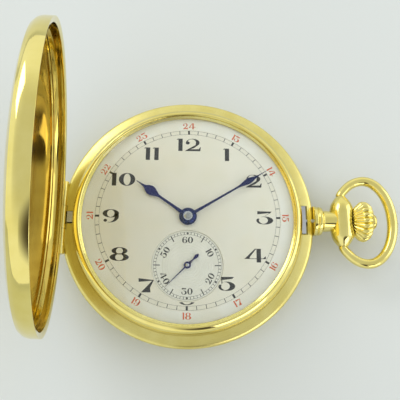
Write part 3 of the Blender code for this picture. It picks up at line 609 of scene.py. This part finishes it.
GOLD_LIGHT = (0.87, 0.75, 0.27)
GOLD_DEEP = (0.80, 0.67, 0.20)
LOOKS = {
    "gold": polished("gold_polished", GOLD_LIGHT, GOLD_DEEP, 0.1),
    "lid": polished("gold_lid", GOLD_LIGHT, GOLD_DEEP, 0.06, 0.0004),
    # inside of the front cover: the same gold painted darker, as painted shade and painted dark
    # reflection in the open lid's hollow
    "lid_painted_shade_inside": polished("gold_lid_painted_shade_interior", (0.70, 0.55, 0.14), (0.55, 0.40, 0.08), 0.07, 0.0006),
    "satin": satin("gold_satin", (0.80, 0.70, 0.26), (0.72, 0.61, 0.19), 0.3),
    "dial": enamel("dial_opaline", (0.89, 0.86, 0.76), (0.92, 0.91, 0.85), 18.6),
    "subdial": satin(
        "subdial_grooved", (0.90, 0.89, 0.82), (0.86, 0.85, 0.77), 0.42, 0.12, 0.004, SECONDS[:2], 0.0,
    ),
    "black": ink("print_black", (0.018, 0.018, 0.02), (0.05, 0.048, 0.05)),
    "red": ink("print_red", (0.70, 0.12, 0.03), (0.74, 0.2, 0.08)),
    "blued": polished("steel_blued", (0.018, 0.032, 0.12), (0.03, 0.028, 0.14), 0.2, 0.0008),
    "steel": polished("steel_polished", (0.62, 0.63, 0.64), (0.52, 0.53, 0.55), 0.18, 0.0008),
    "cap": polished("steel_cap", (0.40, 0.41, 0.41), (0.34, 0.35, 0.36), 0.28, 0.0008),
    "brass": polished("brass_gilt", (0.72, 0.53, 0.24), (0.62, 0.43, 0.17), 0.22, 0.001),
    "nickel": striped("nickel_striped", (0.66, 0.65, 0.61), (0.57, 0.56, 0.53), 0.26, 1.1),
    "glass": glass("glass_clear"),
}


def wear(obj, look, body, slot, *nodes):
    """Give a piece its finish, the body it rides and the nodes it stands for."""
    obj.data.materials.clear()
    obj.data.materials.append(LOOKS[look])
    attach(obj, body)
    if nodes:
        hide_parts(*nodes)


# ---- case ----

def shoulder(radius):
    """Height of the band's sloping shoulder."""
    return SHOULDER_Z - SHOULDER_SLOPE * (radius - SHOULDER_R)


def build_band():
    inner = 21.95
    face = DIAL_Z - 0.95
    profile = rounded([
        (inner, face, 0.05), (22.93, face, 0.04), (22.93, face - 0.5, 0.03),
        (SHOULDER_R, face - 0.5, 0.03), (SHOULDER_R, SHOULDER_Z, 0.06),
        (24.92, shoulder(24.92), 0.12), (25.3, 6.05, 0.25), (25.5, 5.65, 0.3),
        (25.38, 5.15, 0.25), (24.9, 4.72, 0.08), (24.4, 4.72, 0.03), (24.4, 3.4, 0.1),
        (23.7, 2.45, 0.1), (inner, 2.45, 0.05),
    ])
    band = lathe("band", profile)
    lid, back = LID_AXIS, BACK_AXIS
    carve(
        band,
        rod("hole", 0.5, 20, 27, "X", (0, STEM_Z)),
        block("flat", (25.3, -2.9, 3.0), (27, 2.9, 8.6)),
        block("lock", (22.6, -3.0, DIAL_Z - 3.0), (24.15, 3.0, DIAL_Z - 0.6)),
        block("lift", (-24.3, -1.3, DIAL_Z - 3.0), (-22.7, 1.3, DIAL_Z - 0.6)),
        rod("lid_room", LID_KNUCKLE + 0.09, -2.44, 2.44, "Y", (lid.x, lid.z)),
        rod("back_room", BACK_KNUCKLE + 0.09, -2.0, 2.0, "Y", (back.x, back.z)),
    )
    knuckles = []
    hinges = ((lid, LID_KNUCKLE, 2.39, 7.45), (back, BACK_KNUCKLE, 1.94, 6.0))
    for axis, radius, inner_y, outer_y in hinges:
        for side in (-1, 1):
            start, end = sorted((side * inner_y, side * outer_y))
            knuckles.append(rod("knuckle", radius, start, end, "Y", (axis.x, axis.z), 0.07))
    wear(band, "satin", "case", "satin_gold", "case_band")
    wear(join("band_knuckles", *knuckles), "gold", "case", "polished_gold")


def build_front_cover():
    top = LID_TOP
    outer = flowing([
        (0, top), (6, top - 0.12), (12, top - 0.48),
        (17, top - 0.96), (21, top - 1.54), (23.5, top - 2.1),
    ])
    edge = rounded([
        (24.5, top - 2.5, 0.3), (25.0, top - 3.1, 0.4), (LID_RADIUS, top - 3.9, 0.3),
        (LID_RADIUS, shoulder(LID_RADIUS) + 0.12, 0.07), (24.2, shoulder(24.2) + 0.1, 0.07),
        (24.22, 7.1, 0.05), (24.5, 7.15, 0.05), (24.52, top - 3.7, 0.3),
        (24.2, top - 3.05, 0.25), (23.9, top - 2.94, 0.03), (23.75, top - 2.7, 0.05),
    ], 0.1, closed=False)
    inner = flowing([
        (23.3, top - 2.52), (21, top - 2.04), (17, top - 1.44),
        (12, top - 0.96), (6, top - 0.6), (0, top - 0.46),
    ])
    cover = lathe("front_lid", outer + edge + inner, closed=False)
    axis = LID_AXIS
    room = LID_KNUCKLE + 0.08
    carve(
        cover,
        rod("room_a", room, 2.35, 7.55, "Y", (axis.x, axis.z)),
        rod("room_b", room, -7.55, -2.35, "Y", (axis.x, axis.z)),
    )
    lip_radius, lip_z = 24.6, 7.1
    # faces within the lid's rim, which get the darker gold of painted shade and reflection
    inside = [
        face.index for face in cover.data.polygons
        if face.normal.z < 0.3
        and face.center.xy.length < lip_radius * MM
        and face.center.z > lip_z * MM
    ]
    knuckle = rod("lid_knuckle", LID_KNUCKLE, -2.35, 2.35, "Y", (axis.x, axis.z), 0.07)
    hang = Matrix.Translation(axis * MM)
    turn = hang @ Matrix.Rotation(-LID_OPEN, 4, "Y") @ hang.inverted()
    for piece in (cover, knuckle):
        piece.data.transform(turn)
    wear(cover, "lid", "front_cover_body", "polished_gold", "front_cover")
    # second slot: the darker gold painted on the lid's inside as shade and reflection
    cover.data.materials.append(LOOKS["lid_painted_shade_inside"])
    for index in inside:
        cover.data.polygons[index].material_index = 1
    wear(knuckle, "gold", "front_cover_body", "polished_gold")


def build_back_cover():
    seat = rounded([(24.72, 4.64, 0.05), (25.2, 4.64, 0.06)], 0.05, False)
    outer = flowing([
        (25.18, 3.6), (25.1, 3.0), (24.7, 2.25), (23.8, 1.5), (21.5, 0.72), (18, 0.24), (13, 0.0),
    ])
    inner = flowing([
        (13, 0.45), (18, 0.72), (21.3, 1.15), (23.6, 1.98), (24.4, 2.8), (24.7, 3.6), (24.72, 4.5),
    ])
    profile = [(0, 0.45), (6, 0.45)] + inner + seat + outer + [(6, 0.0), (0, 0.0)]
    cover = lathe("back_lid", profile, closed=False)
    axis = BACK_AXIS
    room = BACK_KNUCKLE + 0.08
    carve(
        cover,
        rod("room_a", room, 1.9, 6.1, "Y", (axis.x, axis.z)),
        rod("room_b", room, -6.1, -1.9, "Y", (axis.x, axis.z)),
    )
    wear(cover, "lid", "back_cover_body", "polished_gold", "back_cover")
    knuckle = rod("back_knuckle", BACK_KNUCKLE, -1.9, 1.9, "Y", (axis.x, axis.z), 0.06)
    wear(knuckle, "gold", "back_cover_body", "polished_gold")
    inside = flowing([(0, 1.25), (10, 1.27), (20, 1.35), (22.3, 1.8), (23.05, 2.0)])
    outside = flowing([(23.05, 2.28), (22.2, 2.1), (20, 1.65), (10, 1.57), (0, 1.55)])
    cuvette = lathe("dust_cover", inside + outside, closed=False)
    wear(cuvette, "lid", "cuvette_body", "polished_gold", "cuvette")


def build_bezel():
    base = DIAL_Z
    profile = rounded([
        (21.4, base + 1.15, 0.05), (21.55, base + 1.27, 0.08), (21.85, base + 1.29, 0.14),
        (22.35, base + 0.93, 0.35), (22.72, base + 0.45, 0.3), (22.85, base + 0.05, 0.2),
        (22.85, base - 0.5, 0.04), (22.72, base - 0.56, 0.03), (22.72, base - 0.66, 0.03),
        (22.85, base - 0.72, 0.04), (22.85, base - 0.87, 0.03), (22.0, base - 0.87, 0.03),
        (22.0, base + 0.12, 0.02), (20.98, base + 0.12, 0.03), (20.98, base + 0.6, 0.06),
        (21.4, base + 0.8, 0.04),
    ])
    wear(lathe("bezel_ring", profile), "gold", "case", "polished_gold", "bezel")
    dome = flowing([(0, base + 1.95), (8, base + 1.9), (15, base + 1.72), (19.6, base + 1.5)])
    rim = rounded([
        (20.3, base + 1.44, 0.15), (21.28, base + 1.12, 0.06),
        (21.28, base + 0.83, 0.04), (20.4, base + 1.0, 0.1),
    ], 0.06, False)
    under = flowing([(19.6, base + 1.1), (15, base + 1.3), (8, base + 1.46), (0, base + 1.5)])
    crystal = lathe("watch_glass", dome + rim + under, closed=False)
    wear(crystal, "glass", "case", "mineral_crystal", "crystal")


# ---- pendant, crown and bow ----

def build_pendant():
    neck = lathe("neck", rounded([
        (0, 31.0, 0), (1.95, 31.0, 0.1), (2.05, 28.8, 0.5), (2.2, 27.35, 0.25), (2.35, 27.15, 0.08),
        (2.82, 26.95, 0.12), (2.95, 26.35, 0.12), (2.78, 26.15, 0.05), (3.0, 25.9, 0.1),
        (3.02, 25.34, 0.05), (0, 25.34, 0),
    ], 0.1, False), 96, False)
    place(neck, (0, 0, STEM_Z), "X")
    half = flowing([
        (0.0, 5.2), (0.85, 5.2), (1.08, 5.06), (1.6, 4.4),
        (2.12, 3.5), (2.38, 2.4), (2.45, 1.2), (2.45, 0.0),
    ])
    profile = half + [(radius, -y) for radius, y in reversed(half[:-1])]
    bulb = place(lathe("bulb", profile, 96, False), (BULB_X, 0, STEM_Z), "Y")
    carve(neck, bulb, how="UNION")
    bore = [(0, 35.0), (1.3, 35.0), (1.3, 26.0), (0.56, 26.0), (0.56, 24.0), (0, 24.0)]
    saddle = 4.4
    saddle_x = 32.3
    parts = 64
    globe = [(0.0, saddle)]
    for i in range(1, parts):
        angle = math.pi * i / parts
        globe.append((saddle * math.sin(angle), saddle * math.cos(angle)))
    globe.append((0.0, -saddle))
    carve(
        neck,
        place(lathe("globe", globe, 96, False), (saddle_x + saddle, 0, STEM_Z)),
        place(lathe("bore", bore, 48, False), (0, 0, STEM_Z), "X"),
        rod("eye_a", 0.66, -6, -3.6, "Y", (BOW_PIN_X, STEM_Z)),
        rod("eye_b", 0.66, 3.6, 6, "Y", (BOW_PIN_X, STEM_Z)),
    )
    wear(neck, "gold", "case", "polished_gold", "pendant")


def build_crown():
    """Onion crown: rounded ribs over the belly and flutes on the cone below."""
    body = flowing([
        (1.6, 37.3), (2.5, 37.2), (3.35, 36.85), (3.85, 36.2), (4.0, 35.6), (3.9, 35.0),
    ], 6)
    cone = flowing([(3.66, 34.7), (3.2, 34.2), (2.7, 33.7), (2.2, 33.3)], 5)
    button = flowing([
        (0.0, 38.36), (0.7, 38.33), (1.25, 38.15), (1.5, 37.85), (1.55, 37.55), (1.5, 37.32),
    ], 4)
    profile = button + body + cone + [(1.9, 33.15), (0.62, 33.15), (0.62, 36.3), (0.0, 36.3)]
    teeth = 20
    relief = 0.13
    ribbed = range(len(button) + 1, len(button) + len(body) + len(cone))

    def ribs(angle, index):
        if index not in ribbed:
            return 1.0
        wave = abs(math.sin(angle * teeth / 2)) ** 0.8
        share = (index - ribbed.start + 1) / len(ribbed)
        fade = min(1.0, share * 5.0)
        return 1.0 + relief * fade * (wave - 0.75)

    crown = lathe("crown_onion", profile, teeth * 18, False, ribs, math.radians(60))
    place(crown, (0, 0, STEM_Z), "X")
    wear(crown, "gold", "crown_body", "polished_gold", "crown")


def build_bow():
    """Oval wire, thin at its pivots and full beyond the crown."""
    centre_x, half_width = 36.2, 8.65
    far, near = 5.45, 6.3
    pin = joint_at("bow_hinge")
    start = math.radians(40)
    spine = [
        (pin.x, 4.1, 0.56), (pin.x, 4.7, 0.56), (pin.x, 5.22, 0.56), (pin.x, 5.24, 0.8),
        (pin.x, 5.27, 0.86), (pin.x + 0.02, 5.4, 0.88), (pin.x + 0.12, 5.7, 0.9),
    ]
    for i in range(3, 15):
        angle = start + (math.pi / 2 - start) * i / 14
        x, y = centre_x - near * math.cos(angle), half_width * math.sin(angle)
        spine.append((x, y, 0.9 + 0.08 * i / 14))
    for i in range(17):
        angle = math.pi / 2 * (1 - i / 16)
        x, y = centre_x + far * math.cos(angle), half_width * math.sin(angle)
        spine.append((x, y, 0.98 + 0.1 * i / 16))
    spine += [(x, -y, size) for x, y, size in reversed(spine[:-1])]
    vertices, faces = [], []
    sides = 40
    for index, (x, y, size) in enumerate(spine):
        before = Vector(spine[max(0, index - 1)][:2])
        after = Vector(spine[min(len(spine) - 1, index + 1)][:2])
        along = (after - before).normalized()
        across = Vector((-along.y, along.x))
        for k in range(sides):
            turn = math.tau * k / sides
            offset = across * size * math.cos(turn)
            vertices.append((x + offset.x, y + offset.y, STEM_Z + size * math.sin(turn)))
    for index in range(len(spine) - 1):
        for k in range(sides):
            a, b = index * sides + k, index * sides + (k + 1) % sides
            faces.append((a, b, b + sides, a + sides))
    faces.append(list(range(sides)))
    faces.append(list(range((len(spine) - 1) * sides, len(spine) * sides)))
    bow = close_mesh("bow_ring", vertices, faces)
    soft = bow.modifiers.new("soft", "SUBSURF")
    soft.levels = 1
    soft.render_levels = 1
    wear(bow, "gold", "bow_body", "polished_gold", "bow")


# ---- dial and hands ----

def build_dial():
    base = DIAL_Z
    dial = lathe("dial_disc", rounded([
        (1.62, base, 0.03), (21.6, base, 0.05), (21.6, base - 0.42, 0.03), (1.62, base - 0.42, 0.03),
    ]), 256)
    carve(dial, rod("opening", SECONDS_WELL, 6.5, 9.5, "Z", SECONDS[:2], steps=160))
    wear(dial, "dial", "case", "silvered_dial", "dial")
    lip = lathe("dial_lip", rounded([
        (6.99, base - 0.2, 0.02), (7.12, base + 0.02, 0.05),
        (7.2, base - 0.005, 0.02), (7.06, base - 0.3, 0.02),
    ]), 160)
    spot = (SECONDS[0], SECONDS[1], 0)
    wear(place(lip, spot), "dial", "case", "silvered_dial")

    floor = base - SECONDS_SINK
    groove = 0.02
    steps = [(0.5, floor)]
    for i in range(9):
        radius = 0.9 + 0.5 * i
        steps += [(radius, floor), (radius + 0.06, floor - groove)]
        steps += [(radius + 0.16, floor - groove), (radius + 0.22, floor)]
    steps += [
        (6.85, floor), (6.98, floor - 0.1), (6.98, floor - 0.29),
        (7.6, floor - 0.29), (7.6, floor - 0.52), (0.5, floor - 0.52),
    ]
    disc = place(lathe("seconds_disc", steps, 160), spot)
    wear(disc, "subdial", "case", "silvered_dial", "seconds_dial")


def build_dial_print():
    top, bottom = DIAL_Z + PRINT_RISE, DIAL_Z - 0.006
    black = Print(top, bottom)
    centre = (0.0, 0.0)
    for radius in TRACK:
        black.hoop(centre, radius, 0.02, 240)
    for minute in range(60):
        angle = math.tau * minute / 60
        if minute % 5 == 0:
            black.bar(centre, angle, TRACK[0] + 0.02, TRACK[1] - 0.02, 0.2)
        else:
            black.bar(centre, angle, TRACK[0], TRACK[1], 0.058)
    for hour in (1, 2, 3, 4, 5, 7, 8, 9, 10, 11, 12):
        radius = HOUR_CIRCLE + 0.5 if hour == 7 else HOUR_CIRCLE
        black.number(str(hour), around(centre, radius, math.tau * hour / 12), 2.7, gap=0.19)
    # the small dial cuts the six away but for its lower curve
    six = around(centre, HOUR_CIRCLE, math.pi)
    lower = swash((0, 0, 1.6, 0.84), (0, 0.06, 0.95, 0.78), 205, 335)
    black.add(lower, shift(six[0], six[1] - 1.24))
    wear(black.finish("dial_print_black"), "black", "case", "silvered_dial")

    red = Print(top, bottom)
    for hour in range(13, 25):
        angle = math.tau * (hour - 12) / 12
        upright = math.cos(angle) > -0.2
        turn = -angle if upright else math.pi - angle
        red.number(str(hour), around(centre, RED_CIRCLE, angle), 1.3, 0.66, turn, 0.17)
    wear(red.finish("dial_print_red"), "red", "case", "silvered_dial")


def build_seconds_print():
    floor = DIAL_Z - SECONDS_SINK
    small = Print(floor + 0.012, floor - 0.006)
    centre = SECONDS[:2]
    inner, outer = SECONDS_TRACK
    for radius in SECONDS_TRACK:
        small.hoop(centre, radius, 0.022, 160)
    for second in range(60):
        angle = math.tau * second / 60
        if second % 10 == 0:
            dot = ellipse(0, 0, 0.2, 0.2, count=16)[:-1]
            small.add([dot], shift(*around(centre, (inner + outer) / 2, angle)))
        elif second % 5 == 0:
            small.bar(centre, angle, 5.35, outer, 0.09)
        else:
            small.bar(centre, angle, inner, outer, 0.045)
    for ten in range(1, 7):
        angle = math.tau * ten / 6
        upright = math.cos(angle) > 0.2
        turn = -angle if upright else math.pi - angle
        small.number(str(ten * 10), around(centre, 5.05, angle), 1.25, 0.66, turn, 0.14)
    wear(small.finish("seconds_print"), "black", "case", "silvered_dial")


def hand_outline(points, hub, count=30):
    """A hand along +Y from its half widths, closed by a round hub below."""
    right = flowing([(x, y) for x, y in points], 6)
    start = math.asin(min(1.0, points[0][0] / hub))
    around_hub = []
    for i in range(count + 1):
        angle = start + (math.tau - 2 * start) * i / count
        around_hub.append((hub * math.sin(angle), hub * math.cos(angle)))
    left = [(-x, y) for x, y in reversed(right)]
    return right + left + list(reversed(around_hub))


def build_hour_hand():
    low, high = level("hour_hand", 0), level("hour_hand", 1)
    hand = bevelled("hour_pear", [hand_outline([
        (0.36, 1.72), (0.3, 3.2), (0.25, 6.0), (0.28, 7.2), (0.55, 7.9), (0.9, 8.7),
        (0.98, 9.35), (0.78, 9.95), (0.36, 10.6), (0.18, 11.3), (0.1, 12.1), (0.05, 12.7),
    ], 1.75)], low, high, 0.05)
    place(hand, turn=HOUR_TURN)
    wear(hand, "blued", "hour_body", "blued_steel", "hour_hand")


def build_minute_hand():
    low, high = level("minute_hand", 0), level("minute_hand", 1)
    hand = bevelled("minute_pear", [hand_outline([
        (0.34, 1.4), (0.26, 4.0), (0.2, 9.0), (0.2, 11.6), (0.32, 12.6), (0.56, 13.7),
        (0.6, 14.4), (0.46, 15.1), (0.2, 16.0), (0.1, 17.0), (0.04, 18.5),
    ], 1.45)], low, high, 0.045)
    boss = lathe("minute_boss", rounded([
        (0.93, low - 0.05, 0.02), (1.5, low - 0.05, 0.04), (1.5, low + 0.1, 0.05),
        (1.2, low + 0.32, 0.08), (0.93, low + 0.36, 0.04),
    ]), 64)
    place(hand, turn=MINUTE_TURN)
    wear(hand, "blued", "minute_body", "blued_steel", "minute_hand")
    wear(boss, "blued", "minute_body", "blued_steel")
    top = level("cannon_pinion", 1)
    cap = lathe("cannon_cap", rounded([
        (0.0, top + 0.1, 0), (0.45, top + 0.08, 0.1), (0.86, top - 0.04, 0.1),
        (0.94, top - 0.3, 0.04), (0.0, top - 0.3, 0),
    ], 0.05, False), 64, False)
    wear(cap, "cap", "minute_body", "polished_steel")


def build_seconds_hand():
    low = level("seconds_hand", 0)
    under, over = low + 0.02, low + 0.14
    points = [(0.13, 0.68), (0.1, 2.0), (0.07, 4.0), (0.03, 6.1)]
    needle = bevelled("seconds_needle", [hand_outline(points, 0.7)], under, over, 0.025)
    tail = flowing([
        (0.1, -0.5), (0.11, -1.5), (0.26, -2.1), (0.34, -2.5), (0.2, -2.9), (0.04, -3.12),
    ], 5)
    outline = tail + [(-x, y) for x, y in reversed(tail)]
    counter = bevelled("seconds_tail", [outline], under, over, 0.025)
    hand = join("seconds_leaf", needle, counter)
    spot = (SECONDS[0], SECONDS[1], 0)
    place(hand, spot, turn=SECOND_TURN)
    wear(hand, "blued", "seconds_body", "blued_steel", "seconds_hand")
    pip = lathe("seconds_pip", rounded([
        (0.0, low + 0.3, 0), (0.22, low + 0.28, 0.05), (0.36, low + 0.2, 0.05),
        (0.4, low, 0.02), (0.0, low, 0),
    ], 0.03, False), 48, False)
    wear(place(pip, spot), "steel", "seconds_body", "polished_steel")


# ---- CAD pieces that keep their own shape ----

BRASS = (
    "mainspring_barrel", "barrel_cover", "centre_wheel", "third_wheel", "fourth_wheel",
    "escape_wheel", "balance_wheel",
)
NICKEL = ("mainplate", "barrel_bridge", "train_bridge", "balance_cock")


def dress_nodes():
    """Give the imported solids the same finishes; those replaced are hidden anyway."""
    for name, obj in NODES.items():
        if name in BRASS:
            look = "brass"
        elif name in NICKEL:
            look = "nickel"
        elif "screw" in name:
            look = "blued"
        else:
            look = "steel"
        for slot in obj.material_slots:
            slot.material = LOOKS[look]


# ---- floor, light and camera ----

def build_stage():
    look = Look("studio_paper", 0.0)
    fibre = look.noise(0.4, detail=5.0, rough=0.7)
    look.colour(look.mix(fibre, (0.70, 0.725, 0.71), (0.73, 0.755, 0.74)))
    look.shader.inputs["Roughness"].default_value = 0.6
    floor = link("floor", bpy.data.meshes.new("floor"))
    half = 3.0     # metres
    corners = [(-half, -half, 0), (half, -half, 0), (half, half, 0), (-half, half, 0)]
    floor.data.from_pydata(corners, [], [(0, 1, 2, 3)])
    floor.data.materials.append(look.material)


def area_light(name, spot, size, power, colour=(1.0, 1.0, 1.0)):
    data = bpy.data.lights.new(name, "AREA")
    data.shape = "RECTANGLE"
    data.size = size[0] * MM
    data.size_y = size[1] * MM
    data.energy = power
    data.color = colour
    lamp = bpy.data.objects.new(name, data)
    bpy.context.scene.collection.objects.link(lamp)
    lamp.location = Vector(spot) * MM
    away = Vector(LAMP_AIM) * MM - lamp.location
    lamp.rotation_euler = away.to_track_quat("-Z", "Y").to_euler()


def build_light():
    """Three soft lamps in a pale room with a grey ceiling and a dark corner."""
    area_light("key", (-300, 300, 300), (260, 200), 0.55, (1.0, 0.99, 0.96))
    area_light("side", (330, 60, 150), (320, 260), 0.26, (0.97, 0.99, 1.0))
    area_light("low", (230, -320, 190), (260, 160), 0.3)
    world = bpy.data.worlds.new("studio")
    bpy.context.scene.world = world
    world.use_nodes = True
    tree = world.node_tree
    back = tree.nodes["Background"]
    where = tree.nodes.new("ShaderNodeTexCoord")

    def facing(direction, start, end):
        """Zero away from a direction of the room, one towards it."""
        dot = tree.nodes.new("ShaderNodeVectorMath")
        dot.operation = "DOT_PRODUCT"
        dot.inputs[1].default_value = Vector(direction).normalized()
        ramp = tree.nodes.new("ShaderNodeMapRange")
        ramp.interpolation_type = "SMOOTHSTEP"
        ramp.inputs["From Min"].default_value = start
        ramp.inputs["From Max"].default_value = end
        tree.links.new(where.outputs["Generated"], dot.inputs[0])
        tree.links.new(dot.outputs["Value"], ramp.inputs["Value"])
        return ramp.outputs["Result"]

    def blend(factor, first, second):
        mix = tree.nodes.new("ShaderNodeMix")
        mix.data_type = "RGBA"
        tree.links.new(factor, mix.inputs["Factor"])
        tree.links.new(first, mix.inputs["A"])
        mix.inputs["B"].default_value = (*second, 1.0)
        return mix.outputs["Result"]

    base = tree.nodes.new("ShaderNodeRGB")
    base.outputs[0].default_value = (0.92, 0.95, 0.94, 1.0)
    room = blend(facing((0, 0, 1), 0.45, 0.95), base.outputs[0], (0.62, 0.64, 0.63))
    room = blend(facing((0.3, -0.78, 0.55), 0.87, 0.97), room, (0.07, 0.06, 0.05))
    tree.links.new(room, back.inputs["Color"])
    back.inputs["Strength"].default_value = 1.09


def build_camera():
    """Above the watch and a little towards six, at the photograph's angle."""
    data = bpy.data.cameras.new("camera")
    data.lens = 54.0
    data.sensor_width = 36.0
    data.clip_start = 0.005
    camera = bpy.data.objects.new("camera", data)
    bpy.context.scene.collection.objects.link(camera)
    camera.location = Vector((-0.45, -30.2, 123.4)) * MM
    tilt = Vector([math.radians(degrees) for degrees in (16.28, -1.45, 0.60)])
    camera.rotation_mode = "QUATERNION"
    camera.rotation_quaternion = Quaternion(tilt.normalized(), tilt.length)
    bpy.context.scene.camera = camera


build_band()
build_front_cover()
build_back_cover()
build_bezel()
build_pendant()
build_crown()
build_bow()
build_dial()
build_dial_print()
build_seconds_print()
build_hour_hand()
build_minute_hand()
build_seconds_hand()
dress_nodes()
build_stage()
build_light()
build_camera()
bpy.context.scene.view_settings.view_transform = "Standard"
